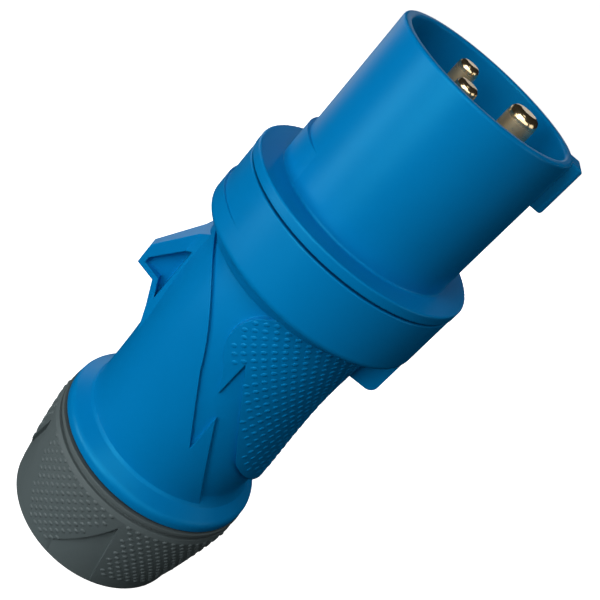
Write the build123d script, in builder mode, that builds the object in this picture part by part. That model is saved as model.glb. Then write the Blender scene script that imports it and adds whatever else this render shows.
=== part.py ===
from build123d import *
from math import cos, radians, sin
import os

os.makedirs("parts", exist_ok=True)

# Industrial pin and sleeve plug, two poles and earth, 16 A, 200 to 250 V
# It stands on the flat end of its gland nut with the shroud mouth up
# +Z runs from the cable end to the mouth, +Y is 12 o'clock and -Y is 6 o'clock seen into the mouth
# All sizes are in millimetres

# Clearances
turning_gap = 0.3
pin_gap = 0.05
seat_gap = 0.05
seam_gap = 0.7
overshoot = 1.0

# Contact pins, all on one circle
pin_circle_r = 9.0
earth_r = 3.5
earth_above_rim = 1.0
earth_barrel_wall = 0.9
earth_bore_r = 2.2
earth_screw_r = 2.0
phase_r = 2.5
phase_below_rim = 0.6
phase_barrel_wall = 1.4
phase_bore_r = 1.8
phase_screw_r = 1.75
shank_lip = 0.3
shank_rise = 0.2
shoulder_lip = 1.0
shoulder_height = 2.0
barrel_length = 17.0
barrel_chamfer = 0.4
wire_bore_depth = 10.0
screw_from_end = 4.5
screw_flat = 0.5
screw_flat_margin = 0.3
tip_round = 0.5

# Terminal screws and their wire plates
screw_head_height = 1.8
screw_head_lip = 1.0
screw_slot_width = 0.8
screw_slot_depth = 0.8
plate_thickness = 0.4
plate_length = 7.0
plate_seat = 0.45
plate_width_share = 1.1

# Contact carrier and its retainer
carrier_rim = 4.6
carrier_height = 6.0
carrier_rise = 1.0
carrier_gap = 0.3
carrier_round = 0.5
retainer_height = 4.2
retainer_gap = 0.1
sleeve_wall = 1.6
sleeve_height = 2.0
sleeve_taper = 4.0
divider_length = 16.5
divider_width = 1.6
divider_rise = 1.5
divider_hub_r = 2.2

# Screws that hold the retainer to the carrier
fixing_count = 3
fixing_edge = 1.7
fixing_r = 1.25
fixing_length = 9.5
fixing_end_gap = 0.5
fixing_head_r = 2.7
fixing_head_height = 1.9
fixing_head_round = 0.5
fixing_slot_width = 0.7
fixing_slot_depth = 0.9
fixing_slot_share = 1.3

# Shroud housing
flange_lip = 0.15
flange_height = 2.35
flange_round = 0.45
mouth_clearance = 7.5
shroud_height = 37.3
shroud_wall = 2.0
shroud_draft = 0.35
rim_round = 0.6
root_round = 0.5
shroud_pad_rise = 0.95
shroud_pad_height = 8.0
shroud_pad_shift = 4.4
spigot_wall = 4.9
spigot_end_gap = 1.15
spigot_chamfer = 0.5
ledge_height = 2.0
ledge_step = 2.2
ledge_above_flange = 1.3

# Key lug on the shroud at 6 o'clock
key_width = 6.0
key_height = 2.9
key_length = 11.9
key_below_rim = 0.3
key_round = 1.0

# Housing seal
seal_section_r = 0.75
seal_groove_width = 2.4
seal_groove_below = 0.85

# Handle with its rear flange, thread boss and collar
flange_gap = 0.9
handle_length = 61.0
handle_wall = 2.6
handle_lean = 1.8
lean_start_share = 0.197
lean_length_share = 0.618
chamber_gap = 3.2
rear_flange_step = 0.3
rear_flange_edge = 2.2
rear_flange_round = 2.2
rear_cone_rise = 0.5
rear_cone_height = 4.9
rear_root_height = 9.2
rear_root_bend = 0.17
boss_share = 0.574
boss_step = 0.3
boss_wall = 4.5
boss_shoulder_r = 12.5
boss_shoulder_height = 3.0
collar_wall = 3.3
collar_height = 14.85
collar_shift = 0.45
collar_rear_round = 2.0
collar_front_round = 0.3
collar_root_height = 3.2
collar_root_lip = 0.2
collar_pad_rise = 0.55
collar_pad_height = 5.9
collar_pad_shift = 2.26
socket_depth = 11.15

# Relief on the handle, drawn in the side view
relief_depth = 0.75
pad_waist_drop = 0.15
pad_waist_share = 0.57
pad_start_share = 0.175
pad_flare = 0.75
pad_flare_share = 0.328
tube_steps = 6

# Fin at 12 o'clock, its heights measured down from the collar
fin_height = 7.8
fin_top_drop = 5.3
fin_peak_drop = 18.6
fin_low_drop = 24.1
fin_neck_height = 2.8
fin_neck_drop = 25.0
fin_foot_drop = 36.0
fin_half = 1.6
fin_root_half = 2.9
fin_root_rise = 1.2
fin_flare_half = 5.4
fin_flare_sink = 0.65
fin_sections = 3
fin_frame = 1.4
fin_web = 1.0
fin_pocket_rise = 0.3
fin_pocket_drop = 2.4

# Lug at 6 o'clock behind the collar
lug_width = 16.0
lug_length = 10.3
lug_inset = 0.3
lug_round = 2.0

# Gland nut
nut_height = 28.4
nut_wall = 4.3
nut_taper = 3.0
nut_middle_drop = 1.25
nut_middle_share = 0.46
nut_shoulder_share = 0.95
nut_edge = 0.3
nut_lip_step = 0.2
nut_lip_height = 1.0
nut_groove_height = 1.3
nut_groove_depth = 0.9
nut_foot_round = 1.0
nut_mouth_r = 10.0
nut_mouth_height = 2.5
nut_seat_width = 5.8
nut_facets = 5
nut_facet_top_depth = 1.3
nut_facet_foot_depth = 0.05
nut_facet_below = 3.6
nut_facet_start = 184.1
nut_facet_lead = 13.0
nut_facet_trail = 4.6
nut_facet_bend = 0.38
nut_facet_bend_height = 0.52

# Cable seal, washer and clamping cage
seal_short = 5.3
seal_wall = 4.6
seal_chamfer = 0.8
insert_r = 5.5
insert_short = 1.0
washer_height = 1.3
washer_lip = 0.2
cage_ring_gap = 1.8
cage_ring_height = 2.4
cage_fingers = 8
finger_slot = 2.0
finger_wall = 2.0
finger_tip_lip = 0.6
finger_end_gap = 0.6

# Radii, worked outward from the pins
earth_barrel_r = earth_r + earth_barrel_wall
phase_barrel_r = phase_r + phase_barrel_wall
carrier_r = pin_circle_r + earth_barrel_r + shoulder_lip + carrier_rim
fixing_circle_r = carrier_r - fixing_head_r - fixing_edge
spigot_bore_r = carrier_r + carrier_gap
spigot_r = spigot_bore_r + spigot_wall
socket_r = spigot_r + turning_gap
collar_r = socket_r + collar_wall
flange_r = collar_r + flange_lip
mouth_r = pin_circle_r + earth_r + mouth_clearance
shroud_r = mouth_r + shroud_wall
shroud_foot_r = shroud_r - shroud_draft
ledge_r = mouth_r - ledge_step
screw_reach = pin_circle_r + earth_barrel_r - screw_flat + screw_head_height
chamber_r = screw_reach + chamber_gap + handle_lean
handle_r = chamber_r + handle_wall
boss_r = handle_r - boss_step
seal_bore_r = boss_r - boss_wall
nut_bore_r = boss_r + turning_gap
nut_top_r = nut_bore_r + nut_wall
nut_lip_r = nut_top_r - nut_lip_step
nut_foot_r = nut_top_r - nut_taper
nut_cone_top_r = nut_bore_r - nut_seat_width
rear_flange_r = nut_lip_r - rear_flange_step
cage_ring_r = nut_bore_r - cage_ring_gap
finger_tip_r = nut_mouth_r + finger_tip_lip
fin_reach = handle_r + handle_lean + fin_height
fin_neck_reach = handle_r + handle_lean + fin_neck_height
reach = 2 * collar_r

# Heights above the floor
rear_z = nut_height + flange_gap
boss_length = boss_share * nut_height
boss_z = rear_z - boss_length
collar_z = rear_z + handle_length
collar_top_z = collar_z + collar_height
flange_z = collar_top_z + seam_gap
flange_top_z = flange_z + flange_height
rim_z = flange_top_z + shroud_height
nut_body_height = nut_height - nut_lip_height - nut_groove_height
nut_facet_height = nut_body_height - nut_facet_below
cage_top_z = boss_z - turning_gap
cage_z = cage_top_z - cage_ring_height
nut_seat_z = cage_z - turning_gap
finger_tip_z = nut_mouth_height + finger_end_gap
washer_top_z = cage_top_z + washer_height
seal_z = washer_top_z + turning_gap
seal_length = boss_length - seal_short
seal_top_z = seal_z + seal_length
chamber_z = seal_top_z + turning_gap + boss_shoulder_height
spigot_z = collar_top_z - socket_depth + spigot_end_gap
ledge_top_z = flange_top_z + ledge_above_flange
ledge_z = ledge_top_z - ledge_height
carrier_z = ledge_z - seat_gap - carrier_height
carrier_front_z = ledge_top_z + carrier_rise
sleeve_top_z = carrier_front_z + sleeve_height
retainer_z = carrier_z - retainer_gap - retainer_height
barrel_z = carrier_z - barrel_length - shoulder_height
earth_top_z = rim_z + earth_above_rim
phase_top_z = rim_z - phase_below_rim
fin_top_z = collar_z - fin_top_drop
fin_foot_z = collar_z - fin_foot_drop


def lean_at(z):
    """Shift of the handle's axis toward 12 o'clock at height z."""
    share = ((z - rear_z) / handle_length - lean_start_share) / lean_length_share
    share = min(1.0, max(0.0, share))
    return handle_lean * share * share * (3 - 2 * share)


def skin_radius(z):
    """Outer skin of the handle."""
    return handle_r


def floor_radius(z):
    """Skin at the bottom of the relief."""
    return handle_r - relief_depth


def chamber_radius(z):
    """Wall of the wiring chamber inside the handle."""
    return chamber_r


def pad_radius(z):
    """Radius of the grip pads, waisted in the middle and flared at both ends."""
    share = ((z - rear_z) / handle_length - pad_waist_share) / pad_flare_share
    return handle_r - pad_waist_drop + pad_flare * share ** 2


def leaning_tube(radius_at, low, high):
    """Solid lofted through circles that follow the handle's leaning axis."""
    with BuildPart() as tube:
        for step in range(tube_steps + 1):
            z = low + (high - low) * step / tube_steps
            with BuildSketch(Plane.XY.offset(z)):
                with Locations((0, lean_at(z))):
                    Circle(radius_at(z))
        loft()
    return tube.part


def side_point(across, up):
    """Point in the side view, as shares of the handle's radius and length."""
    return (across * handle_r, rear_z + up * handle_length)


def side_prism(edges_of_outline):
    """Prism through the whole handle from an outline in the side view."""
    with BuildPart() as prism:
        with BuildSketch(Plane.YZ):
            with BuildLine():
                edges_of_outline()
            make_face()
        extrude(amount=reach, both=True)
    return prism.part


def plane_out(angle, height, distance):
    """Plane that faces away from the plug's axis, at a distance from it."""
    direction = (cos(radians(angle)), sin(radians(angle)), 0)
    place = (direction[0] * distance, direction[1] * distance, height)
    return Plane(origin=place, x_dir=(-direction[1], direction[0], 0), z_dir=direction)


def on_circle(angle, radius):
    """Place on a circle round the plug's axis."""
    return (radius * cos(radians(angle)), radius * sin(radians(angle)))


# Gland nut
with BuildPart() as gland_nut:
    with BuildSketch(Plane.XZ):
        with BuildLine():
            groove_r = nut_lip_r - nut_groove_depth
            lip_z = nut_height - nut_lip_height
            shoulder = (nut_top_r, nut_body_height * nut_shoulder_share)
            Line((0, 0), (nut_foot_r, 0))
            ThreePointArc(
                (nut_foot_r, 0),
                (nut_top_r - nut_middle_drop, nut_body_height * nut_middle_share),
                shoulder,
            )
            Polyline(
                shoulder,
                (nut_top_r - nut_edge, nut_body_height),
                (groove_r, nut_body_height),
                (groove_r, lip_z - nut_edge),
                (nut_lip_r, lip_z),
                (nut_lip_r, nut_height),
                (0, nut_height),
                (0, 0),
            )
        make_face()
    revolve(axis=Axis.Z)
    foot_edge = edges().filter_by(GeomType.CIRCLE).group_by(Axis.Z)[0]
    fillet(foot_edge, nut_foot_round)
    # Thread bore, the cone that squeezes the cage and the cable mouth
    with BuildSketch(Plane.XZ):
        with BuildLine():
            Polyline(
                (0, -overshoot),
                (nut_mouth_r, -overshoot),
                (nut_mouth_r, nut_mouth_height),
                (finger_tip_r + finger_wall + turning_gap, nut_mouth_height),
                (nut_cone_top_r, nut_seat_z),
                (nut_bore_r, nut_seat_z),
                (nut_bore_r, nut_height + overshoot),
                (0, nut_height + overshoot),
                (0, -overshoot),
            )
        make_face()
    revolve(axis=Axis.Z, mode=Mode.SUBTRACT)

# Smooth wedge facets, deepest at their points and running out at the foot of the nut
with BuildPart() as facet_ring:
    with BuildSketch(Plane.XZ):
        Polygon(
            (nut_foot_r - nut_facet_foot_depth, 0),
            (nut_top_r - nut_facet_top_depth, nut_facet_height),
            (reach, nut_facet_height),
            (reach, 0),
            align=None,
        )
    revolve(axis=Axis.Z)
with BuildPart() as facet_cuts:
    for number in range(nut_facets):
        facet_angle = nut_facet_start + number * 360 / nut_facets
        with BuildSketch(plane_out(facet_angle, 0, nut_bore_r)):
            with BuildLine():
                Line((0, nut_facet_height), (nut_facet_trail, 0))
                Line((nut_facet_trail, 0), (-nut_facet_lead, 0))
                ThreePointArc(
                    (-nut_facet_lead, 0),
                    (-nut_facet_lead * nut_facet_bend, nut_facet_height * nut_facet_bend_height),
                    (0, nut_facet_height),
                )
            make_face()
        extrude(amount=nut_top_r)
    add(facet_ring.part, mode=Mode.INTERSECT)
with BuildPart() as gland_nut_done:
    add(gland_nut.part)
    add(facet_cuts.part, mode=Mode.SUBTRACT)
gland_nut_done.part.label = "gland_nut"
export_step(gland_nut_done.part, "parts/gland_nut.step")


# Handle housing
def carve_outline():
    """Region between the long crease and the lower crease, where the skin drops back."""
    Line(side_point(-0.085, 0.325), side_point(0.354, 0.610))
    ThreePointArc(side_point(0.354, 0.610), side_point(0.637, 0.787), side_point(1.054, 0.941))
    Polyline(
        side_point(1.054, 0.941),
        side_point(1.054, 1.03),
        side_point(-2.5, 1.03),
        side_point(-2.5, 0.0),
        side_point(-0.72, 0.0),
        side_point(-0.067, 0.497),
        side_point(-0.085, 0.325),
    )


def pad_outline():
    """Grip pads that meet under the handle, each with a pointed tongue and a rounded corner."""
    Line(side_point(0.081, 0.746), side_point(0.081, 0.585))
    Line(side_point(0.081, 0.585), side_point(0.233, 0.692))
    ThreePointArc(side_point(0.233, 0.692), side_point(0.372, 0.835), side_point(0.067, 0.972))
    Polyline(
        side_point(0.067, 0.972),
        side_point(0.067, 1.03),
        side_point(-2.5, 1.03),
        side_point(-2.5, 0.208),
    )
    ThreePointArc(side_point(-2.5, 0.208), side_point(-0.964, 0.233), side_point(-0.561, 0.348))
    Line(side_point(-0.561, 0.348), side_point(0.081, 0.746))


skin_low_z = rear_z + overshoot
skin_high_z = collar_z + overshoot
skin = leaning_tube(skin_radius, skin_low_z, skin_high_z)
relief_floor = leaning_tube(floor_radius, skin_low_z, skin_high_z)
pads = leaning_tube(pad_radius, rear_z + pad_start_share * handle_length, skin_high_z)
chamber = leaning_tube(chamber_radius, chamber_z, collar_top_z - socket_depth + overshoot)

# The fin is thin at its outer edge and spreads where it leaves the leaning skin
with BuildPart() as fin:
    for step in range(fin_sections + 1):
        up = fin_foot_z + (collar_z - fin_foot_z) * step / fin_sections
        axis_y = lean_at(up)
        with BuildSketch(Plane.XY.offset(up)):
            Polygon(
                (-fin_half, fin_reach),
                (-fin_root_half, handle_r + axis_y + fin_root_rise),
                (-fin_flare_half, handle_r + axis_y - fin_flare_sink),
                (-fin_flare_half, handle_r - 2 * overshoot),
                (fin_flare_half, handle_r - 2 * overshoot),
                (fin_flare_half, handle_r + axis_y - fin_flare_sink),
                (fin_root_half, handle_r + axis_y + fin_root_rise),
                (fin_half, fin_reach),
                align=None,
            )
    loft(ruled=True)
    with BuildSketch(Plane.YZ):
        Polygon(
            (handle_r - 2 * overshoot, fin_top_z + 2 * overshoot),
            (handle_r + overshoot, fin_top_z),
            (fin_reach, collar_z - fin_peak_drop),
            (fin_reach, collar_z - fin_low_drop),
            (fin_neck_reach, collar_z - fin_neck_drop),
            (handle_r, fin_foot_z),
            (handle_r - 2 * overshoot, fin_foot_z - 2 * overshoot),
            align=None,
        )
    extrude(amount=reach, both=True, mode=Mode.INTERSECT)
    # Blind pockets on both sides leave a frame round a thin web
    for side in (-1, 1):
        with BuildSketch(Plane.YZ.offset(side * fin_web / 2)):
            Polygon(
                (handle_r + fin_pocket_rise, fin_top_z - fin_pocket_drop),
                (fin_reach, collar_z - fin_peak_drop - fin_pocket_drop),
                (fin_reach, collar_z - fin_low_drop),
                (fin_neck_reach, collar_z - fin_neck_drop),
                (handle_r + fin_pocket_rise, fin_foot_z + overshoot),
                align=None,
            )
            offset(amount=-fin_frame, kind=Kind.INTERSECTION, mode=Mode.REPLACE)
        extrude(amount=side * reach, mode=Mode.SUBTRACT)

with BuildPart() as collar:
    with BuildSketch(Plane.XY.offset(collar_z)):
        with Locations((0, collar_shift)):
            Circle(collar_r)
    extrude(amount=collar_height)
    with BuildSketch(Plane.XY.offset(collar_z)):
        with Locations((0, collar_pad_shift)):
            Circle(collar_r + collar_shift + collar_pad_rise - collar_pad_shift)
    extrude(amount=collar_pad_height)
    fillet(edges().group_by(Axis.Z)[0], collar_rear_round)
    fillet(edges().group_by(Axis.Z)[-1], collar_front_round)

with BuildPart() as collar_root:
    root_z = collar_z - collar_root_height
    with BuildSketch(Plane.XY.offset(root_z)):
        with Locations((0, lean_at(root_z))):
            Circle(handle_r + collar_root_lip)
    with BuildSketch(Plane.XY.offset(collar_z + overshoot / 2)):
        with Locations((0, collar_shift)):
            Circle(collar_r - collar_rear_round)
    loft()

with BuildPart() as rear_lug:
    lug_r = collar_r - lug_inset
    lug_inner_r = handle_r - handle_lean - handle_wall / 2
    with BuildSketch(Plane.XY.offset(collar_z - lug_length)):
        with Locations((0, collar_shift)):
            Circle(lug_r)
        with Locations((0, -(lug_inner_r + reach) / 2)):
            Rectangle(lug_width, reach - lug_inner_r, mode=Mode.INTERSECT)
    extrude(amount=lug_length + collar_rear_round + overshoot)
    outer_edge = edges().group_by(Axis.Z)[0].sort_by(Axis.Y)[0]
    fillet(outer_edge, lug_round)

# Rear flange with its sloping shoulder, and the thread boss below it
with BuildPart() as rear_flange:
    with BuildSketch(Plane.XZ):
        with BuildLine():
            cone_top = (handle_r + rear_cone_rise, rear_z + rear_cone_height)
            root_top = (handle_r - relief_depth - rear_root_bend, rear_z + rear_root_height)
            root_low = ((cone_top[0] + root_top[0]) / 2 - 2 * rear_root_bend, (cone_top[1] + root_top[1]) / 2)
            Polyline(
                (0, boss_z),
                (boss_r, boss_z),
                (boss_r, rear_z),
                (rear_flange_r, rear_z),
                (rear_flange_r, rear_z + rear_flange_edge),
                cone_top,
            )
            ThreePointArc(cone_top, root_low, root_top)
            Polyline(root_top, (0, rear_z + rear_root_height), (0, boss_z))
        make_face()
    revolve(axis=Axis.Z)
    outer_edges = edges().filter_by(GeomType.CIRCLE).sort_by(SortBy.RADIUS)[-2:]
    fillet(outer_edges.sort_by(Axis.Z)[-1], rear_flange_round)

with BuildPart() as handle_housing:
    add(skin)
    add(side_prism(carve_outline), mode=Mode.SUBTRACT)
    add(relief_floor)
    add(pads & side_prism(pad_outline))
    add(fin.part)
    add(collar_root.part)
    add(rear_lug.part)
    add(collar.part)
    add(rear_flange.part)
    # Wiring chamber, socket for the front housing and seat for the cable seal
    add(chamber, mode=Mode.SUBTRACT)
    with BuildSketch(Plane.XY.offset(collar_top_z)):
        Circle(socket_r)
    extrude(amount=-socket_depth, mode=Mode.SUBTRACT)
    with BuildSketch(Plane.XY.offset(boss_z)):
        Circle(boss_shoulder_r)
    extrude(amount=chamber_z - boss_z + overshoot, mode=Mode.SUBTRACT)
    with BuildSketch(Plane.XY.offset(boss_z)):
        Circle(seal_bore_r)
    extrude(amount=chamber_z - boss_z - boss_shoulder_height, mode=Mode.SUBTRACT)
handle_housing.part.label = "handle_housing"
export_step(handle_housing.part, "parts/handle_housing.step")

# Key lug that stands on the shroud at 6 o'clock
with BuildPart() as key_lug:
    key_reach = shroud_r + key_height
    with BuildSketch(Plane.XY.offset(rim_z - key_below_rim)):
        with Locations((0, -(key_reach + mouth_r + shroud_wall / 2) / 2)):
            Rectangle(key_width, key_reach - mouth_r - shroud_wall / 2)
    extrude(amount=-key_length)
    outer_face = faces().sort_by(Axis.Y)[0]
    fillet(outer_face.edges(), key_round)

# Shroud housing: shroud, front flange and threaded spigot in one moulding
with BuildPart() as shroud_housing:
    with BuildSketch(Plane.XY.offset(flange_z)):
        with Locations((0, collar_shift)):
            Circle(flange_r)
    extrude(amount=flange_height)
    fillet(edges().group_by(Axis.Z)[-1], flange_round)
    with BuildSketch(Plane.XZ):
        with BuildLine():
            shroud_low_z = flange_top_z - flange_round
            Polyline(
                (0, spigot_z),
                (spigot_r - spigot_chamfer, spigot_z),
                (spigot_r, spigot_z + spigot_chamfer),
                (spigot_r, shroud_low_z),
                (shroud_foot_r + root_round, shroud_low_z),
                (shroud_foot_r + root_round, flange_top_z),
            )
            CenterArc((shroud_foot_r + root_round, flange_top_z + root_round), root_round, 270, -90)
            Polyline(
                (shroud_foot_r, flange_top_z + root_round),
                (shroud_r, rim_z),
                (0, rim_z),
                (0, spigot_z),
            )
        make_face()
    revolve(axis=Axis.Z)
    # Low pad on the foot of the shroud at 12 o'clock
    with BuildSketch(Plane.XY.offset(shroud_low_z)):
        with Locations((0, shroud_pad_shift)):
            Circle(shroud_foot_r + shroud_pad_rise - shroud_pad_shift)
    extrude(amount=shroud_pad_height + flange_round)
    # Mouth, ledge and the bore for the contact carrier
    with BuildSketch(Plane.XY.offset(rim_z)):
        Circle(mouth_r)
    extrude(amount=ledge_top_z - rim_z, mode=Mode.SUBTRACT)
    with BuildSketch(Plane.XY.offset(spigot_z)):
        Circle(ledge_r)
    extrude(amount=ledge_top_z - spigot_z, mode=Mode.SUBTRACT)
    with BuildSketch(Plane.XY.offset(spigot_z)):
        Circle(spigot_bore_r)
    extrude(amount=ledge_z - spigot_z, mode=Mode.SUBTRACT)
    # Groove for the housing seal
    groove_top_z = flange_z - seal_groove_below
    with BuildSketch(Plane.XY.offset(groove_top_z)):
        Circle(socket_r + overshoot)
        Circle(spigot_r - 2 * seal_section_r - turning_gap, mode=Mode.SUBTRACT)
    extrude(amount=-seal_groove_width, mode=Mode.SUBTRACT)
    rim_edges = edges().filter_by(GeomType.CIRCLE).group_by(Axis.Z)[-1]
    fillet(rim_edges, rim_round)
    add(key_lug.part)
shroud_housing.part.label = "shroud_housing"
export_step(shroud_housing.part, "parts/shroud_housing.step")

# Housing seal, a round ring in the spigot's groove
with BuildPart() as housing_seal:
    with BuildSketch(Plane.XZ):
        with Locations((spigot_r - seal_section_r, groove_top_z - seal_groove_width / 2)):
            Circle(seal_section_r)
    revolve(axis=Axis.Z)
housing_seal.part.label = "housing_seal"
export_step(housing_seal.part, "parts/housing_seal.step")

# Contacts: name, clock angle, radius, top, barrel radius, wire bore radius, screw radius
contacts = [
    ("earth", 270, earth_r, earth_top_z, earth_barrel_r, earth_bore_r, earth_screw_r),
    ("line", 30, phase_r, phase_top_z, phase_barrel_r, phase_bore_r, phase_screw_r),
    ("neutral", 150, phase_r, phase_top_z, phase_barrel_r, phase_bore_r, phase_screw_r),
]
fixing_angles = [90 + number * 360 / fixing_count for number in range(fixing_count)]

# Contact carrier, a stepped disc with a sleeve round each pin
with BuildPart() as contact_carrier:
    with BuildSketch(Plane.XY.offset(carrier_z)):
        Circle(carrier_r)
    extrude(amount=carrier_height)
    with BuildSketch(Plane.XY.offset(carrier_z)):
        Circle(ledge_r - carrier_gap)
    extrude(amount=carrier_front_z - carrier_z)
    fillet(edges().group_by(Axis.Z)[-1], carrier_round)
    for name, angle, radius, top, barrel, bore, screw in contacts:
        with BuildSketch(Plane.XY.offset(carrier_front_z)):
            with Locations(on_circle(angle, pin_circle_r)):
                Circle(radius + sleeve_wall)
        extrude(amount=sleeve_height, taper=sleeve_taper)
    for name, angle, radius, top, barrel, bore, screw in contacts:
        with BuildSketch(Plane.XY.offset(carrier_z)):
            with Locations(on_circle(angle, pin_circle_r)):
                Circle(radius + shank_lip + pin_gap)
        extrude(amount=sleeve_top_z - carrier_z, mode=Mode.SUBTRACT)
    for angle in fixing_angles:
        with BuildSketch(Plane.XY.offset(carrier_z)):
            with Locations(on_circle(angle, fixing_circle_r)):
                Circle(fixing_r + pin_gap)
        extrude(amount=fixing_length - retainer_height + fixing_end_gap, mode=Mode.SUBTRACT)
contact_carrier.part.label = "contact_carrier"
export_step(contact_carrier.part, "parts/contact_carrier.step")

# Retainer that traps the pins' shoulders, with dividers between the terminals
with BuildPart() as carrier_retainer:
    with BuildSketch(Plane.XY.offset(retainer_z)):
        Circle(carrier_r)
    extrude(amount=retainer_height)
    with BuildSketch(Plane.XY.offset(retainer_z)):
        Circle(divider_hub_r)
        divider_reach = pin_circle_r + divider_rise
        for angle in fixing_angles:
            with Locations(on_circle(angle, divider_reach / 2)):
                Rectangle(divider_reach, divider_width, rotation=angle)
    extrude(amount=-divider_length)
    for name, angle, radius, top, barrel, bore, screw in contacts:
        with BuildSketch(Plane.XY.offset(retainer_z)):
            with Locations(on_circle(angle, pin_circle_r)):
                Circle(barrel + pin_gap)
        extrude(amount=retainer_height, mode=Mode.SUBTRACT)
        with BuildSketch(Plane.XY.offset(retainer_z + retainer_height)):
            with Locations(on_circle(angle, pin_circle_r)):
                Circle(barrel + shoulder_lip + pin_gap)
        extrude(amount=-shoulder_height, mode=Mode.SUBTRACT)
    for angle in fixing_angles:
        with BuildSketch(Plane.XY.offset(retainer_z)):
            with Locations(on_circle(angle, fixing_circle_r)):
                Circle(fixing_r + 2 * pin_gap)
        extrude(amount=retainer_height, mode=Mode.SUBTRACT)
carrier_retainer.part.label = "carrier_retainer"
export_step(carrier_retainer.part, "parts/carrier_retainer.step")

# Contact pins, each with its terminal barrel, terminal screw and wire plate
for name, angle, radius, top, barrel, bore, screw in contacts:
    shoulder_z = carrier_z - shoulder_height
    screw_z = barrel_z + screw_from_end
    place = on_circle(angle, pin_circle_r)
    with BuildPart() as pin:
        with BuildSketch(Plane.XY.offset(barrel_z)):
            with Locations(place):
                Circle(radius)
        extrude(amount=top - barrel_z)
        fillet(edges().group_by(Axis.Z)[-1], radius * tip_round)
        with BuildSketch(Plane.XY.offset(barrel_z)):
            with Locations(place):
                Circle(radius + shank_lip)
        extrude(amount=sleeve_top_z + shank_rise - barrel_z)
        with BuildSketch(Plane.XY.offset(barrel_z)):
            with Locations(place):
                Circle(barrel)
        extrude(amount=barrel_length)
        chamfer(edges().group_by(Axis.Z)[0], barrel_chamfer)
        with BuildSketch(Plane.XY.offset(shoulder_z)):
            with Locations(place):
                Circle(barrel + shoulder_lip)
        extrude(amount=shoulder_height)
        with BuildSketch(Plane.XY.offset(barrel_z)):
            with Locations(place):
                Circle(bore)
        extrude(amount=wire_bore_depth, mode=Mode.SUBTRACT)
        with BuildSketch(plane_out(angle, screw_z, pin_circle_r + barrel - screw_flat)):
            Rectangle(2 * barrel, 2 * (screw + screw_head_lip + screw_flat_margin))
        extrude(amount=screw_flat + overshoot, mode=Mode.SUBTRACT)
        with BuildSketch(plane_out(angle, screw_z, pin_circle_r)):
            Circle(screw)
        extrude(amount=barrel + overshoot, mode=Mode.SUBTRACT)
    pin.part.label = name + "_pin"
    export_step(pin.part, "parts/" + name + "_pin.step")
    plate_out = bore - plate_seat
    with BuildPart() as terminal_screw:
        head_plane = plane_out(angle, screw_z, pin_circle_r + barrel - screw_flat)
        with BuildSketch(head_plane):
            Circle(screw + screw_head_lip)
        extrude(amount=screw_head_height)
        with BuildSketch(head_plane):
            Circle(screw - pin_gap)
        extrude(amount=-(barrel - screw_flat - plate_out))
        slot_plane = plane_out(angle, screw_z, pin_circle_r + barrel - screw_flat + screw_head_height)
        with BuildSketch(slot_plane):
            Rectangle(2 * (screw + screw_head_lip) + overshoot, screw_slot_width)
        extrude(amount=-screw_slot_depth, mode=Mode.SUBTRACT)
    terminal_screw.part.label = name + "_terminal_screw"
    export_step(terminal_screw.part, "parts/" + name + "_terminal_screw.step")
    with BuildPart() as wire_plate:
        with BuildSketch(plane_out(angle, screw_z, pin_circle_r + plate_out)):
            Rectangle(bore * plate_width_share, plate_length)
        extrude(amount=-plate_thickness)
    wire_plate.part.label = name + "_wire_plate"
    export_step(wire_plate.part, "parts/" + name + "_wire_plate.step")

# Screws that hold the retainer to the carrier, driven from behind
for number, angle in enumerate(fixing_angles, start=1):
    place = on_circle(angle, fixing_circle_r)
    with BuildPart() as fixing:
        with BuildSketch(Plane.XY.offset(retainer_z)):
            with Locations(place):
                Circle(fixing_head_r)
        extrude(amount=-fixing_head_height)
        fillet(edges().group_by(Axis.Z)[0], fixing_head_round)
        with BuildSketch(Plane.XY.offset(retainer_z)):
            with Locations(place):
                Circle(fixing_r)
        extrude(amount=fixing_length)
        with BuildSketch(Plane.XY.offset(retainer_z - fixing_head_height)):
            with Locations(place):
                Rectangle(fixing_head_r * fixing_slot_share, fixing_slot_width)
                Rectangle(fixing_slot_width, fixing_head_r * fixing_slot_share)
        extrude(amount=fixing_slot_depth, mode=Mode.SUBTRACT)
    fixing.part.label = "carrier_screw_" + str(number)
    export_step(fixing.part, "parts/carrier_screw_" + str(number) + ".step")

# Cable seal of rubber in the boss, with a removable inner ring
seal_r = seal_bore_r - turning_gap
with BuildPart() as cable_seal:
    with BuildSketch(Plane.XY.offset(seal_z)):
        Circle(seal_r)
        Circle(seal_r - seal_wall, mode=Mode.SUBTRACT)
    extrude(amount=seal_length)
    chamfer(edges().group_by(Axis.Z)[0], seal_chamfer)
cable_seal.part.label = "cable_seal"
export_step(cable_seal.part, "parts/cable_seal.step")
with BuildPart() as cable_seal_insert:
    insert_z = seal_z + insert_short / 2
    with BuildSketch(Plane.XY.offset(insert_z)):
        Circle(seal_r - seal_wall - turning_gap)
        Circle(insert_r, mode=Mode.SUBTRACT)
    extrude(amount=seal_length - insert_short)
cable_seal_insert.part.label = "cable_seal_insert"
export_step(cable_seal_insert.part, "parts/cable_seal_insert.step")

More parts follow.
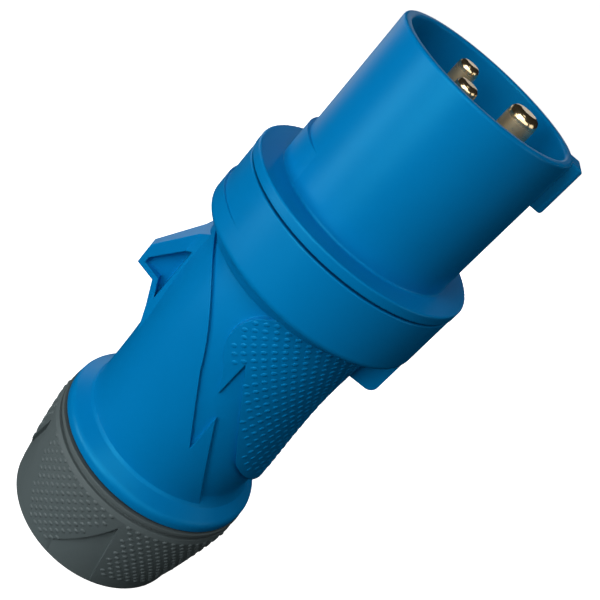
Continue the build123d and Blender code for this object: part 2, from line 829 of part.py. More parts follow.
# Clamping cage in the nut: a ring with fingers that the nut's cone closes on the cable
with BuildPart() as clamping_cage:
    with BuildSketch(Plane.XY.offset(cage_z)):
        Circle(cage_ring_r)
    extrude(amount=cage_ring_height)
    with BuildSketch(Plane.XZ):
        with BuildLine():
            finger_top_r = nut_cone_top_r - turning_gap
            Polyline(
                (0, cage_z),
                (finger_top_r, cage_z),
                (finger_tip_r + finger_wall, finger_tip_z),
                (0, finger_tip_z),
                (0, cage_z),
            )
        make_face()
    revolve(axis=Axis.Z)
    with BuildSketch(Plane.XZ):
        with BuildLine():
            Polyline(
                (0, cage_top_z + overshoot),
                (finger_top_r - finger_wall, cage_top_z + overshoot),
                (finger_top_r - finger_wall, cage_z),
                (finger_tip_r, finger_tip_z),
                (finger_tip_r, finger_tip_z - overshoot),
                (0, finger_tip_z - overshoot),
                (0, cage_top_z + overshoot),
            )
        make_face()
    revolve(axis=Axis.Z, mode=Mode.SUBTRACT)
    with BuildSketch(Plane.XY.offset(finger_tip_z)):
        with PolarLocations(0, cage_fingers // 2, angular_range=180):
            Rectangle(2 * (cage_ring_r + overshoot), finger_slot)
    extrude(amount=cage_z - finger_tip_z, mode=Mode.SUBTRACT)
clamping_cage.part.label = "clamping_cage"
export_step(clamping_cage.part, "parts/clamping_cage.step")

# Thrust washer between the cage and the cable seal
with BuildPart() as thrust_washer:
    with BuildSketch(Plane.XY.offset(cage_top_z)):
        Circle(seal_r)
        Circle(nut_mouth_r - washer_lip, mode=Mode.SUBTRACT)
    extrude(amount=washer_height)
thrust_washer.part.label = "thrust_washer"
export_step(thrust_washer.part, "parts/thrust_washer.step")
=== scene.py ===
"""Finishes, grip texture, threads and studio for a moulded industrial pin and sleeve plug."""

import math

import bmesh
import bpy
from bpy.props import FloatProperty, FloatVectorProperty, PointerProperty
from mathutils import Matrix, Vector
from mathutils.bvhtree import BVHTree


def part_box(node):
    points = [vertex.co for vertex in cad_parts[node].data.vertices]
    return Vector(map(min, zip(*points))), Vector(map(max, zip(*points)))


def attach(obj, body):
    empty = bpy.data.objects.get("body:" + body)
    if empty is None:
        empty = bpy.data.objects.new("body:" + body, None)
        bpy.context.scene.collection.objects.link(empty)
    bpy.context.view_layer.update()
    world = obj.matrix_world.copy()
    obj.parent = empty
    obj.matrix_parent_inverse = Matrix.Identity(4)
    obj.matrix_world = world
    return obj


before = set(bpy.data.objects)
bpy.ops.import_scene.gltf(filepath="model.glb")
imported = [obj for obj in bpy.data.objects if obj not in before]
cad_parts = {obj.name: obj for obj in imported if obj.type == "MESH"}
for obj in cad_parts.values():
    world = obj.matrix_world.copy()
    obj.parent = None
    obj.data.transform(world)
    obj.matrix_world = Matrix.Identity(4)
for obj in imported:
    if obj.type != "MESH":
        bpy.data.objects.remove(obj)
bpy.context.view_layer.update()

bl_info = {
    "name": "Industrial plug finisher",
    "version": (1, 0, 0),
    "blender": (4, 5, 0),
    "location": "3D View > Sidebar > Plug",
    "description": "Finishes and dresses a moulded pin and sleeve plug and lights it in a small studio",
    "category": "Object",
}

MM = 0.001
BLUE_NODES = ("handle_housing", "shroud_housing")
INNER_NODES = ("contact_carrier", "carrier_retainer")
GLAND_NODES = ("clamping_cage", "thrust_washer")
RUBBER_NODES = ("housing_seal", "cable_seal", "cable_seal_insert")
CONTACTS = ("earth", "line", "neutral")
SCREW_COUNT = 3

nut_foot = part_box("gland_nut")[0][2]
handle_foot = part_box("handle_housing")[0][2]
shroud_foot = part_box("shroud_housing")[0][2]


class PlugSizes(bpy.types.PropertyGroup):
    """Sizes of the moulded texture and of the threads."""

    grip_dot_step: FloatProperty(
        name="Grip dot step", description="Distance between neighbours in a row round the grip",
        default=2.54 * MM, unit="LENGTH")
    grip_dot_slant: FloatProperty(
        name="Grip dot slant", description="How far the second row is shifted round the grip from the first",
        default=0.69 * MM, unit="LENGTH")
    grip_dot_row: FloatProperty(
        name="Grip dot row", description="Distance between the first two rows along the grip",
        default=1.38 * MM, unit="LENGTH")
    grip_dot_length: FloatProperty(
        name="Grip dot length", description="Length of one raised dot of the grip",
        default=1.6 * MM, unit="LENGTH")
    grip_dot_width: FloatProperty(
        name="Grip dot width", description="Width of one raised dot of the grip",
        default=1.15 * MM, unit="LENGTH")
    grip_dot_height: FloatProperty(
        name="Grip dot height", description="Height of one raised dot of the grip",
        default=0.14 * MM, unit="LENGTH")
    nut_dot_step: FloatProperty(
        name="Nut dot step", description="Distance between neighbours in a row round the nut",
        default=2.29 * MM, unit="LENGTH")
    nut_dot_row: FloatProperty(
        name="Nut dot row", description="Distance between the rows along the nut",
        default=1.58 * MM, unit="LENGTH")
    nut_dot_length: FloatProperty(
        name="Nut dot length", description="Length of one raised dot of the nut",
        default=1.5 * MM, unit="LENGTH")
    nut_dot_width: FloatProperty(
        name="Nut dot width", description="Width of one raised dot of the nut",
        default=1.15 * MM, unit="LENGTH")
    nut_dot_height: FloatProperty(
        name="Nut dot height", description="Height of one raised dot of the nut",
        default=0.24 * MM, unit="LENGTH")
    thread_height: FloatProperty(
        name="Thread height", description="How far a thread's ridge stands out of its cylinder",
        default=0.22 * MM, unit="LENGTH")
    edge_softness: FloatProperty(
        name="Edge softness", description="Radius that moulding leaves on every edge of the plastic",
        default=0.35 * MM, unit="LENGTH")
    grain: FloatProperty(
        name="Mould grain", description="Size of the fine grain that the mould leaves on plastic",
        default=0.35 * MM, unit="LENGTH")


class PlugColours(bpy.types.PropertyGroup):
    """Colours of the plug's materials, in linear light."""

    blue: FloatVectorProperty(
        name="Blue", description="Blue of the 200 to 250 V housings",
        default=(0.0, 0.192, 0.49), subtype="COLOR", min=0, max=1)
    nut: FloatVectorProperty(
        name="Nut", description="Grey black of the gland nut",
        default=(0.094, 0.122, 0.126), subtype="COLOR", min=0, max=1)
    insert: FloatVectorProperty(
        name="Insert", description="Grey of the contact carrier and its retainer",
        default=(0.11, 0.115, 0.12), subtype="COLOR", min=0, max=1)
    rubber: FloatVectorProperty(
        name="Rubber", description="Black of the seals",
        default=(0.018, 0.018, 0.018), subtype="COLOR", min=0, max=1)
    contact: FloatVectorProperty(
        name="Contact", description="Pale gold of the plated contact pins",
        default=(0.93, 0.71, 0.40), subtype="COLOR", min=0, max=1)
    steel: FloatVectorProperty(
        name="Steel", description="Zinc plated steel of the screws",
        default=(0.60, 0.61, 0.62), subtype="COLOR", min=0, max=1)
    floor: FloatVectorProperty(
        name="Floor", description="Pale studio floor",
        default=(0.93, 0.93, 0.93), subtype="COLOR", min=0, max=1)


class StudioSettings(bpy.types.PropertyGroup):
    """Camera and lights of the studio."""

    lens: FloatProperty(
        name="Lens", description="Focal length on a 36 mm sensor", default=61.6, min=10, max=300)
    key_power: FloatProperty(
        name="Key", description="Power of the high soft light on the fin side in watts", default=0.72)
    side_power: FloatProperty(
        name="Side", description="Power of the tall soft light on the fin side in watts", default=1.4)
    low_power: FloatProperty(
        name="Low", description="Power of the low light that draws the gleam along the shroud in watts",
        default=0.85)
    front_power: FloatProperty(
        name="Front", description="Power of the soft light above the camera in watts", default=0.47)
    top_power: FloatProperty(
        name="Top", description="Power of the weak light overhead in watts", default=0.05)
    fill_power: FloatProperty(
        name="Fill", description="Power of the weak light on the dark side in watts", default=0.34)
    back_power: FloatProperty(
        name="Back", description="Power of each of the two lights behind the plug in watts", default=0.9)
    rim_power: FloatProperty(
        name="Rim", description="Power of the light that edges the fin side in watts", default=0.2)
    gleam_power: FloatProperty(
        name="Gleam card", description="Power of the wide card that only gleams, in watts", default=3.2)
    far_gleam_power: FloatProperty(
        name="Far card", description="Power of the far card that only gleams, in watts", default=0.04)
    backdrop: FloatProperty(
        name="Backdrop", description="Brightness of the white backdrop, which throws no light", default=1.0,
        min=0)
    floor_glow: FloatProperty(
        name="Floor glow", description="How far the floor is lit evenly from below", default=1.1, min=0)


class Reading:
    """A value that a material's node gives, ready for plain arithmetic."""

    def __init__(self, finish, socket):
        self.finish = finish
        self.socket = socket

    def reckon(self, operation, first, second):
        """One sum on two values, at least one of them a reading."""
        node = self.finish.add("ShaderNodeMath", {"operation": operation}, {0: first, 1: second})
        return Reading(self.finish, node.outputs[0])

    def __add__(self, other):
        return self.reckon("ADD", self, other)

    def __radd__(self, other):
        return self.reckon("ADD", other, self)

    def __sub__(self, other):
        return self.reckon("SUBTRACT", self, other)

    def __rsub__(self, other):
        return self.reckon("SUBTRACT", other, self)

    def __mul__(self, other):
        return self.reckon("MULTIPLY", self, other)

    def __rmul__(self, other):
        return self.reckon("MULTIPLY", other, self)


class Finish:
    """A material with one shader, and one method that adds any other node."""

    def __init__(self, name):
        self.material = bpy.data.materials.new(name)
        self.material.use_nodes = True
        self.nodes = self.material.node_tree.nodes
        self.links = self.material.node_tree.links
        self.shader = self.nodes["Principled BSDF"]

    def feed(self, socket, value):
        """Link a reading or a socket, or set a plain value."""
        if isinstance(value, Reading):
            self.links.new(value.socket, socket)
        elif isinstance(value, bpy.types.NodeSocket):
            self.links.new(value, socket)
        else:
            socket.default_value = value

    def add(self, kind, settings, inputs):
        """Add a node of any kind, its settings first and then its sockets."""
        node = self.nodes.new(kind)
        for name, value in settings.items():
            setattr(node, name, value)
        for key, value in inputs.items():
            self.feed(node.inputs[key], value)
        return node

    def place(self):
        """Point of the surface in the plug's own frame, in metres."""
        return self.add("ShaderNodeTexCoord", {}, {}).outputs["Object"]

    def clouds(self, place, size, detail=2.0):
        """Soft noise with features of about the given size."""
        node = self.add("ShaderNodeTexNoise", {}, {"Vector": place, "Scale": 1 / size, "Detail": detail})
        return Reading(self, node.outputs[0])

    def rising(self, place, low, high):
        """Share that rises from 0 to 1 between two heights."""
        height = self.add("ShaderNodeSeparateXYZ", {}, {"Vector": place}).outputs["Z"]
        node = self.add("ShaderNodeMapRange", {}, {"Value": height, "From Min": low, "From Max": high})
        return Reading(self, node.outputs[0])

    def blend(self, share, low, high):
        """Mix two colours."""
        node = self.add("ShaderNodeMix", {"data_type": "RGBA"}, {"Factor": share, 6: low, 7: high})
        return node.outputs[2]

    def bump(self, height, distance, strength=1.0, below=None):
        """Bump from a height, on top of another bump if there is one."""
        inputs = {"Height": height, "Distance": distance, "Strength": strength}
        if below is not None:
            inputs["Normal"] = below
        return self.add("ShaderNodeBump", {}, inputs).outputs["Normal"]

    def soft_edges(self, radius):
        """Normals that round off every edge a little, as moulding does."""
        return self.add("ShaderNodeBevel", {"samples": 6}, {"Radius": radius}).outputs["Normal"]

    def finish_with(self, **values):
        """Set or link the shader's sockets, named with underscores for spaces."""
        for name, value in values.items():
            self.feed(self.shader.inputs[name.replace("_", " ")], value)
        return self.material


def shade(colour, factor):
    """The same colour, darker or lighter."""
    return tuple(min(1.0, channel * factor) for channel in colour) + (1.0,)


def sizes():
    """The plug's sizes that a user can change."""
    return bpy.context.scene.plug_sizes


def colours():
    """The plug's colours that a user can change."""
    return bpy.context.scene.plug_colours


def studio():
    """The studio's settings that a user can change."""
    return bpy.context.scene.plug_studio


def moulded_plastic(name, colour, roughness, grain_depth, specular, tint=(1.0, 1.0, 1.0, 1.0)):
    """Satin moulded plastic with soft edges, fine grain, faint flow marks and uneven gloss."""
    finish = Finish(name)
    place = finish.place()
    flow = finish.clouds(place, 14 * MM, 3.0)
    speckle = finish.clouds(place, 1.1 * MM, 2.0)
    grain = finish.clouds(place, sizes().grain, 1.0)
    tone = flow * 0.7 + speckle * 0.3
    base = finish.blend(tone, shade(colour, 0.93), shade(colour, 1.07))
    gloss = roughness - 0.03 + flow * 0.05 + grain * 0.04
    relief = finish.bump(grain, grain_depth, 0.5, finish.soft_edges(sizes().edge_softness))
    return finish.finish_with(
        Base_Color=base, Roughness=gloss, Normal=relief, Specular_IOR_Level=specular, Specular_Tint=tint)


def seal_rubber(name, colour):
    """Dull black rubber with a dusty bloom."""
    finish = Finish(name)
    place = finish.place()
    bloom = finish.clouds(place, 3 * MM, 3.0)
    grain = finish.clouds(place, 0.25 * MM, 1.0)
    base = finish.blend(bloom, shade(colour, 0.8), shade(colour, 1.7))
    return finish.finish_with(
        Base_Color=base, Roughness=0.62 + bloom * 0.2, Normal=finish.bump(grain, 0.02 * MM, 0.6))


def turned_contact(name, colour, shoulder):
    """Plated contact metal, satin with fine turning marks, polished on the rounded end above the shoulder."""
    finish = Finish(name)
    place = finish.place()
    round_the_pin = finish.add(
        "ShaderNodeMapping", {}, {"Vector": place, "Scale": (0.05, 0.05, 1.0)}).outputs[0]
    marks = finish.clouds(round_the_pin, 0.18 * MM, 2.0)
    tarnish = finish.clouds(place, 2.5 * MM, 3.0)
    base = finish.blend(tarnish, shade(colour, 0.92), shade(colour, 1.06))
    polished = finish.rising(place, shoulder - 0.6 * MM, shoulder + 0.2 * MM)
    return finish.finish_with(
        Base_Color=base, Metallic=0.79 + polished * 0.16,
        Roughness=0.24 - polished * 0.11 + tarnish * 0.05 + marks * 0.03,
        Normal=finish.bump(marks, 0.003 * MM, 0.5))


def zinc_steel(name, colour):
    """Zinc plated steel with faint clouds in its gloss."""
    finish = Finish(name)
    place = finish.place()
    cloud = finish.clouds(place, 1.2 * MM, 3.0)
    grain = finish.clouds(place, 0.12 * MM, 1.0)
    base = finish.blend(cloud, shade(colour, 0.8), shade(colour, 1.1))
    return finish.finish_with(
        Base_Color=base, Metallic=1.0, Roughness=0.28 + cloud * 0.16,
        Normal=finish.bump(grain, 0.008 * MM, 0.5))


def dress(nodes, material):
    """Give carried-over CAD nodes a material."""
    for name in nodes:
        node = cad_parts[name]
        if node.data.materials:
            for index in range(len(node.data.materials)):
                node.data.materials[index] = material
        else:
            node.data.materials.append(material)


def keep_mesh(name, builder, material, body):
    """Turn built geometry into a smooth piece that rides on a body."""
    mesh = bpy.data.meshes.new(name)
    bmesh.ops.recalc_face_normals(builder, faces=builder.faces)
    for face in builder.faces:
        face.smooth = True
    builder.to_mesh(mesh)
    builder.free()
    mesh.materials.append(material)
    piece = bpy.data.objects.new(name, mesh)
    bpy.context.scene.collection.objects.link(piece)
    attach(piece, body)


def skin_of(name):
    """Search tree over the surface of a CAD node."""
    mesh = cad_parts[name].data
    points = [vertex.co.copy() for vertex in mesh.vertices]
    faces = [tuple(face.vertices) for face in mesh.polygons]
    return BVHTree.FromPolygons(points, faces)


def clock(angle):
    """Direction seen into the mouth, from 12 o'clock toward 9 o'clock."""
    return Vector((-math.sin(angle), math.cos(angle), 0))


def touch(skin, angle, height, centre=0.0):
    """Point and outward normal where a level ray toward the axis meets a skin."""
    outward = clock(angle)
    reach = 60 * MM
    start = Vector((0, centre, height)) + outward * reach
    point, normal, _, _ = skin.ray_cast(start, -outward, reach)
    if point is None:
        return None, None
    if normal.dot(outward) < 0:
        normal = -normal
    return point, normal


def raise_dot(builder, point, normal, long_way, length, width, height):
    """One raised oval dot with a soft crown, sunk a little into the skin."""
    across = normal.cross(long_way).normalized()
    along = across.cross(normal).normalized()
    sides = 8
    sink = 0.06 * MM
    levels = ((1.0, -sink), (0.86, height * 0.5), (0.5, height * 0.92))
    rings = []
    for spread, lift in levels:
        ring = []
        for side in range(sides):
            turn = 2 * math.pi * side / sides
            offset = along * (math.cos(turn) * length * spread / 2)
            offset += across * (math.sin(turn) * width * spread / 2)
            ring.append(builder.verts.new(point + offset + normal * lift))
        rings.append(ring)
    crown = builder.verts.new(point + normal * height)
    for lower, upper in zip(rings, rings[1:]):
        for side in range(sides):
            after = (side + 1) % sides
            builder.faces.new((lower[side], lower[after], upper[after], upper[side]))
    for side in range(sides):
        after = (side + 1) % sides
        builder.faces.new((rings[-1][side], rings[-1][after], crown))


def inside(outline, across, along):
    """Whether a point lies inside a closed outline."""
    hit = False
    before = outline[-1]
    for corner in outline:
        if (corner[1] > along) != (before[1] > along):
            share = (along - corner[1]) / (before[1] - corner[1])
            if across < corner[0] + share * (before[0] - corner[0]):
                hit = not hit
        before = corner
    return hit


def helix_ridge(builder, radius, low, high, lead, foot, height):
    """A thread's ridge that winds up a cylinder and fades in and out at its ends."""
    steps_per_turn = 72
    turns = (high - low) / lead
    steps = int(turns * steps_per_turn)
    sink = 0.1 * MM
    fade_share = 1 / 8
    previous = None
    for step in range(steps + 1):
        share = step / steps
        angle = 2 * math.pi * turns * share
        level = low + (high - low) * share
        fade = min(1.0, share / fade_share, (1 - share) / fade_share)
        out = Vector((math.cos(angle), math.sin(angle), 0))
        profile = (
            (radius - sink, -foot / 2),
            (radius + height * fade, -foot / 5),
            (radius + height * fade, foot / 5),
            (radius - sink, foot / 2),
        )
        ring = [builder.verts.new(out * reach + Vector((0, 0, level + rise))) for reach, rise in profile]
        if previous is None:
            builder.faces.new(ring)
        else:
            for side in range(4):
                after = (side + 1) % 4
                builder.faces.new((previous[side], previous[after], ring[after], ring[side]))
        previous = ring
    builder.faces.new(list(reversed(previous)))


class PLUG_OT_housings(bpy.types.Operator):
    """Finish the blue handle and shroud housings"""

    bl_idname = "plug.housings"
    bl_label = "Blue housings"

    def execute(self, context):
        blue_gleam = (0.08, 0.85, 1.0, 1.0)
        blue = moulded_plastic(
            "blue_housing", tuple(colours().blue), 0.33, 0.012 * MM, 0.3, blue_gleam)
        dress(BLUE_NODES, blue)
        return {"FINISHED"}


class PLUG_OT_gland(bpy.types.Operator):
    """Finish the gland nut, the clamping cage and the thrust washer"""

    bl_idname = "plug.gland"
    bl_label = "Gland nut and cage"

    def execute(self, context):
        dark = moulded_plastic("nut_plastic", tuple(colours().nut), 0.5, 0.02 * MM, 0.22)
        dress(("gland_nut",) + GLAND_NODES, dark)
        return {"FINISHED"}


class PLUG_OT_inserts(bpy.types.Operator):
    """Finish the contact carrier and its retainer"""

    bl_idname = "plug.inserts"
    bl_label = "Contact carrier"

    def execute(self, context):
        grey = moulded_plastic("insert_plastic", tuple(colours().insert), 0.48, 0.015 * MM, 0.5)
        dress(INNER_NODES, grey)
        return {"FINISHED"}


class PLUG_OT_seals(bpy.types.Operator):
    """Finish the rubber seals"""

    bl_idname = "plug.seals"
    bl_label = "Seals"

    def execute(self, context):
        dress(RUBBER_NODES, seal_rubber("seal_rubber", tuple(colours().rubber)))
        return {"FINISHED"}


class PLUG_OT_contacts(bpy.types.Operator):
    """Finish the three contact pins"""

    bl_idname = "plug.contacts"
    bl_label = "Contact pins"

    def execute(self, context):
        # How far each kind of pin is rounded down from its top
        kinds = {
            "earth_contact": (("earth_pin",), 1.75 * MM),
            "phase_contact": (("line_pin", "neutral_pin"), 1.25 * MM),
        }
        for name, (pins, rounding) in kinds.items():
            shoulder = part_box(pins[0])[1][2] - rounding
            dress(pins, turned_contact(name, tuple(colours().contact), shoulder))
        return {"FINISHED"}


class PLUG_OT_screws(bpy.types.Operator):
    """Finish the terminal screws, the wire plates and the carrier screws"""

    bl_idname = "plug.screws"
    bl_label = "Screws and plates"

    def execute(self, context):
        steel = zinc_steel("zinc_steel", tuple(colours().steel))
        nodes = [name + "_terminal_screw" for name in CONTACTS]
        nodes += [name + "_wire_plate" for name in CONTACTS]
        nodes += [f"carrier_screw_{number + 1}" for number in range(SCREW_COUNT)]
        dress(nodes, steel)
        return {"FINISHED"}


class PLUG_OT_grip_dots(bpy.types.Operator):
    """Raise the dots of the grip pads on both sides of the handle"""

    bl_idname = "plug.grip_dots"
    bl_label = "Grip dots"

    def execute(self, context):
        skin = skin_of("handle_housing")
        lean = 1.7 * MM
        radius = 22.2 * MM
        high = 87.15 * MM
        first_arc = 36.65 * MM
        middle_arc = 44.0 * MM
        # Each row stands a little farther from the one above, is shifted more, and sags at its ends
        row_growth = 0.0115 * MM
        slant_growth = 0.0324 * MM
        sag = 0.0022 / MM
        widest_sag = 12 * MM
        # Half the clear width under the handle, where the two sides meet
        seam_margin = 0.6 * MM
        # Side view outline of the dotted field: place toward 12 o'clock, then height
        field = ((3.2, 72.4), (5.3, 74.2), (6.9, 76.4), (7.2, 80.5), (6.3, 84.2), (4.6, 86.3), (0.0, 88.0),
                 (-30.0, 88.0), (-30.0, 43.8), (-21.0, 44.8), (-15.2, 50.0), (-9.2, 57.9), (-2.5, 68.0),
                 (-0.2, 73.0), (0.9, 75.8), (2.4, 74.5))
        # No dots on the lug, nor where the skin turns away too steeply to carry one
        lug_half = 9.2 * MM
        lug_foot = 79.0 * MM
        steepest = 0.97
        # Each dot lies along a rising line
        dot_run = 0.75
        dot_rise = 0.65
        rows = 25
        around = int(math.pi * radius / sizes().grip_dot_step)
        builder = bmesh.new()
        count = 0
        for side in (1, -1):
            for row in range(rows):
                shift = first_arc + row * sizes().grip_dot_slant + row * row * slant_growth
                level = high - row * sizes().grip_dot_row - row * row * row_growth
                for place in range(-around, around):
                    arc = shift + place * sizes().grip_dot_step
                    angle = arc / radius
                    if not 0 < angle < math.pi - seam_margin / radius:
                        continue
                    height = level - sag * min(abs(arc - middle_arc), widest_sag) ** 2
                    point, normal = touch(skin, side * angle, height, lean)
                    if point is None:
                        continue
                    if not inside(field, point.y / MM, point.z / MM):
                        continue
                    if abs(point.x) < lug_half and point.z > lug_foot:
                        continue
                    if normal.dot(clock(side * angle)) < steepest:
                        continue
                    tangent = Vector((0, 0, 1)).cross(normal).normalized() * side
                    slanted = (tangent * dot_run + Vector((0, 0, 1)) * dot_rise).normalized()
                    raise_dot(builder, point, normal, slanted, sizes().grip_dot_length,
                              sizes().grip_dot_width, sizes().grip_dot_height)
                    count += 1
        if count == 0:
            raise RuntimeError("no grip dot found its place on the handle")
        blue = bpy.data.materials["blue_housing"]
        keep_mesh("grip_dots", builder, blue, "handle")
        return {"FINISHED"}


class PLUG_OT_nut_dots(bpy.types.Operator):
    """Raise the dots between the facets of the gland nut"""

    bl_idname = "plug.nut_dots"
    bl_label = "Nut dots"

    def execute(self, context):
        skin = skin_of("gland_nut")
        facets = 5
        facet_turn = 2 * math.pi / facets
        first_facet = math.radians(94.1)
        first_dot = math.radians(1.3)
        radius = 25.5 * MM
        top_row = 24.33 * MM
        dotted_height = 23 * MM
        # Two fields leave a wide smooth margin beside the facet that they follow, the others a narrow one
        wide_margin_sectors = (1, 4)
        # Outlines of the fields: distance from a facet's apex round to the next one, then height
        far_edge = ((24.4, 8.2), (24.4, 11.5), (27.0, 14.5), (29.4, 20.5), (30.2, 24.8))
        wide_margin = ((5.5, 24.8), (5.0, 17.0), (4.9, 16.0), (6.6, 14.5), (8.9, 11.5), (9.0, 8.5),
                       (13.6, 2.0), (19.5, 1.8)) + far_edge
        narrow_margin = ((1.2, 24.8), (2.4, 19.0), (3.4, 14.0), (4.5, 9.5), (5.6, 4.2),
                         (14.9, 4.2), (20.0, 4.2)) + far_edge
        builder = bmesh.new()
        rows = int(dotted_height / sizes().nut_dot_row)
        columns = int(2 * math.pi * radius / sizes().nut_dot_step)
        step = 2 * math.pi / columns
        count = 0
        for row in range(rows):
            level = nut_foot + top_row - row * sizes().nut_dot_row
            for column in range(columns):
                angle = first_dot + (column + 0.5 * ((row + 1) % 2)) * step
                past_first = (angle - first_facet) % (2 * math.pi)
                sector = int(past_first / facet_turn)
                arc = (past_first - sector * facet_turn) * radius / MM
                field = wide_margin if sector in wide_margin_sectors else narrow_margin
                if not inside(field, arc, level / MM):
                    continue
                point, normal = touch(skin, angle, level)
                if point is None:
                    continue
                tangent = Vector((0, 0, 1)).cross(normal).normalized()
                raise_dot(builder, point, normal, tangent, sizes().nut_dot_length,
                          sizes().nut_dot_width, sizes().nut_dot_height)
                count += 1
        if count == 0:
            raise RuntimeError("no dot found its place on the nut")
        dark = bpy.data.materials["nut_plastic"]
        keep_mesh("nut_dots", builder, dark, "gland_nut")
        return {"FINISHED"}


class PLUG_OT_threads(bpy.types.Operator):
    """Wind the threads on the spigot and on the gland's boss"""

    bl_idname = "plug.threads"
    bl_label = "Threads"

    def execute(self, context):
        spigot_start = shroud_foot + 1.2 * MM
        boss_start = handle_foot + 0.8 * MM
        # Name, body, radius, start, length, lead and width of the ridge
        threads = (
            ("spigot_thread", "front_housing", 24.2 * MM, spigot_start, 5.4 * MM, 3.0 * MM, 1.4 * MM),
            ("boss_thread", "handle", 22.0 * MM, boss_start, 13.5 * MM, 4.0 * MM, 1.8 * MM),
        )
        blue = bpy.data.materials["blue_housing"]
        for name, body, radius, start, length, lead, width in threads:
            builder = bmesh.new()
            helix_ridge(builder, radius, start, start + length, lead, width, sizes().thread_height)
            keep_mesh(name, builder, blue, body)
        return {"FINISHED"}


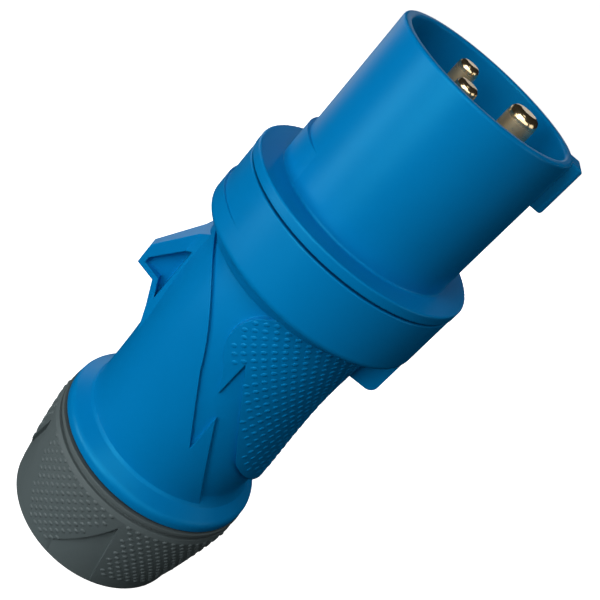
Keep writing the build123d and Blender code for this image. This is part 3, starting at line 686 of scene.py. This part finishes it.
class PLUG_OT_stage(bpy.types.Operator):
    """Set up the floor, the lights and the camera"""

    bl_idname = "plug.stage"
    bl_label = "Studio"

    def execute(self, context):
        scene = context.scene
        scene.view_settings.view_transform = "Standard"
        self.lay_floor(scene)
        self.light(scene)
        self.set_camera(scene)
        return {"FINISHED"}

    def lay_floor(self, scene):
        """Wide pale floor, lit evenly from below, that throws no light on the plug."""
        finish = Finish("studio_floor")
        pale = tuple(colours().floor) + (1.0,)
        finish.finish_with(Base_Color=pale, Roughness=0.9, Specular_IOR_Level=0.1,
                           Emission_Color=pale, Emission_Strength=studio().floor_glow)
        # Half the floor's width in metres, wide enough to reach past the picture from any side
        half = 6.0
        mesh = bpy.data.meshes.new("studio_floor")
        corners = [(-half, -half, 0), (half, -half, 0), (half, half, 0), (-half, half, 0)]
        mesh.from_pydata(corners, [], [(0, 1, 2, 3)])
        mesh.materials.append(finish.material)
        floor = bpy.data.objects.new("studio_floor", mesh)
        floor.location.z = nut_foot
        floor.visible_diffuse = False
        floor.visible_glossy = False
        floor.visible_shadow = False
        scene.collection.objects.link(floor)

    def soft_light(self, scene, name, turn, rise, width, height, power, gleams=True, spreads=True):
        """Soft light aimed at the plug's middle, from a clock direction and a rise in degrees."""
        lamp = bpy.data.lights.new(name, "AREA")
        lamp.shape = "RECTANGLE"
        lamp.size = width
        lamp.size_y = height
        lamp.energy = power
        middle = Vector((0, 0, 80 * MM))
        distance = 550 * MM
        rise = math.radians(rise)
        toward = clock(math.radians(turn)) * math.cos(rise) + Vector((0, 0, math.sin(rise)))
        holder = bpy.data.objects.new(name, lamp)
        holder.location = middle + toward * distance
        holder.rotation_euler = (-toward).to_track_quat("-Z", "Y").to_euler()
        holder.visible_glossy = gleams
        holder.visible_diffuse = spreads
        scene.collection.objects.link(holder)

    def light(self, scene):
        """White backdrop, soft lights on the fin side and the camera's side, weak ones behind the plug."""
        world = bpy.data.worlds.new("studio_backdrop")
        world.use_nodes = True
        backdrop = world.node_tree.nodes["Background"]
        backdrop.inputs["Color"].default_value = (1, 1, 1, 1)
        backdrop.inputs["Strength"].default_value = studio().backdrop
        world.cycles_visibility.diffuse = False
        world.cycles_visibility.glossy = False
        scene.world = world
        self.soft_light(scene, "key_light", 50, 45, 0.22, 0.22, studio().key_power)
        self.soft_light(scene, "side_light", 52, 5, 0.22, 0.4, studio().side_power)
        self.soft_light(scene, "low_light", 20, -8, 0.22, 0.22, studio().low_power)
        self.soft_light(scene, "front_light", 80, 45, 0.22, 0.22, studio().front_power)
        self.soft_light(scene, "top_light", 80, 80, 0.1, 0.1, studio().top_power)
        self.soft_light(scene, "fill_light", 165, 20, 0.3, 0.3, studio().fill_power)
        self.soft_light(scene, "rim_light", 300, 0, 0.3, 0.3, studio().rim_power)
        self.soft_light(scene, "gleam_card", 78, 20, 1.3, 0.42, studio().gleam_power, spreads=False)
        self.soft_light(scene, "far_card", 262, 14, 0.16, 0.1, studio().far_gleam_power, spreads=False)
        self.soft_light(scene, "back_light", 235, 15, 0.3, 0.3, studio().back_power, gleams=False)
        self.soft_light(scene, "far_light", 300, 15, 0.3, 0.3, studio().back_power, gleams=False)

    def set_camera(self, scene):
        """Camera at the photograph's viewing angle."""
        lens = bpy.data.cameras.new("studio_camera")
        lens.sensor_width = 36
        lens.lens = studio().lens
        lens.clip_start = 0.01
        camera = bpy.data.objects.new("studio_camera", lens)
        place = Vector((-201.065, 34.754, 184.398)) * MM
        right = Vector((0.16978, -0.772786, 0.611536))
        up = Vector((0.440038, 0.614695, 0.654611))
        back = right.cross(up)
        turn = Matrix((right, up, back)).transposed()
        camera.matrix_world = Matrix.Translation(place) @ turn.to_4x4()
        scene.collection.objects.link(camera)
        scene.camera = camera


class PLUG_PT_sidebar(bpy.types.Panel):
    """Buttons for each group of pieces and for the studio"""

    bl_label = "Industrial plug"
    bl_space_type = "VIEW_3D"
    bl_region_type = "UI"
    bl_category = "Plug"

    def draw(self, context):
        for operator in OPERATORS:
            self.layout.operator(operator.bl_idname)
        for group in (sizes(), colours(), studio()):
            box = self.layout.box()
            for name in group.__annotations__:
                box.prop(group, name)


OPERATORS = (
    PLUG_OT_housings,
    PLUG_OT_gland,
    PLUG_OT_inserts,
    PLUG_OT_seals,
    PLUG_OT_contacts,
    PLUG_OT_screws,
    PLUG_OT_grip_dots,
    PLUG_OT_nut_dots,
    PLUG_OT_threads,
    PLUG_OT_stage,
)
GROUPS = (PlugSizes, PlugColours, StudioSettings)


def register():
    """Register the settings, the operators and the panel."""
    for kind in GROUPS + OPERATORS + (PLUG_PT_sidebar,):
        bpy.utils.register_class(kind)
    bpy.types.Scene.plug_sizes = PointerProperty(type=PlugSizes)
    bpy.types.Scene.plug_colours = PointerProperty(type=PlugColours)
    bpy.types.Scene.plug_studio = PointerProperty(type=StudioSettings)


def unregister():
    """Remove everything that register added."""
    del bpy.types.Scene.plug_studio
    del bpy.types.Scene.plug_colours
    del bpy.types.Scene.plug_sizes
    for kind in reversed(GROUPS + OPERATORS + (PLUG_PT_sidebar,)):
        bpy.utils.unregister_class(kind)


def main():
    """Finish and dress the plug and set up the studio."""
    register()
    bpy.ops.plug.housings()
    bpy.ops.plug.gland()
    bpy.ops.plug.inserts()
    bpy.ops.plug.seals()
    bpy.ops.plug.contacts()
    bpy.ops.plug.screws()
    bpy.ops.plug.grip_dots()
    bpy.ops.plug.nut_dots()
    bpy.ops.plug.threads()
    bpy.ops.plug.stage()


if __name__ == "__main__":
    main()
